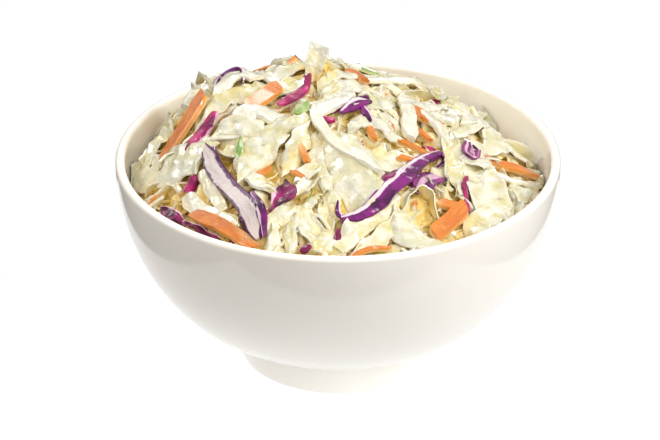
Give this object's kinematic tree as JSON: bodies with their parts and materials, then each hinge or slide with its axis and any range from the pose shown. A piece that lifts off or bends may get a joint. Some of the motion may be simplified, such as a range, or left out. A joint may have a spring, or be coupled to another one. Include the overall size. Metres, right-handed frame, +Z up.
{
  "type": "bowl of coleslaw",
  "caption": "Round white glazed bowl on a low foot ring, heaped above its rim with shredded coleslaw of pale cabbage, red cabbage, carrot strips and chopped herb in a light dressing.",
  "frame": {"origin": "on the table, under the centre of the bowl's foot", "axes": "+Z up, along the bowl's axis; -Y towards the side that the picture is taken from; +X to its right"},
  "size_m": [0.15, 0.15, 0.1035],
  "materials": {
    "bowl": "gloss",
    "coleslaw": "satin"
  },
  "bodies": {
    "root": {"bowl": "bowl", "coleslaw": "coleslaw"}
  },
  "joints": []
}
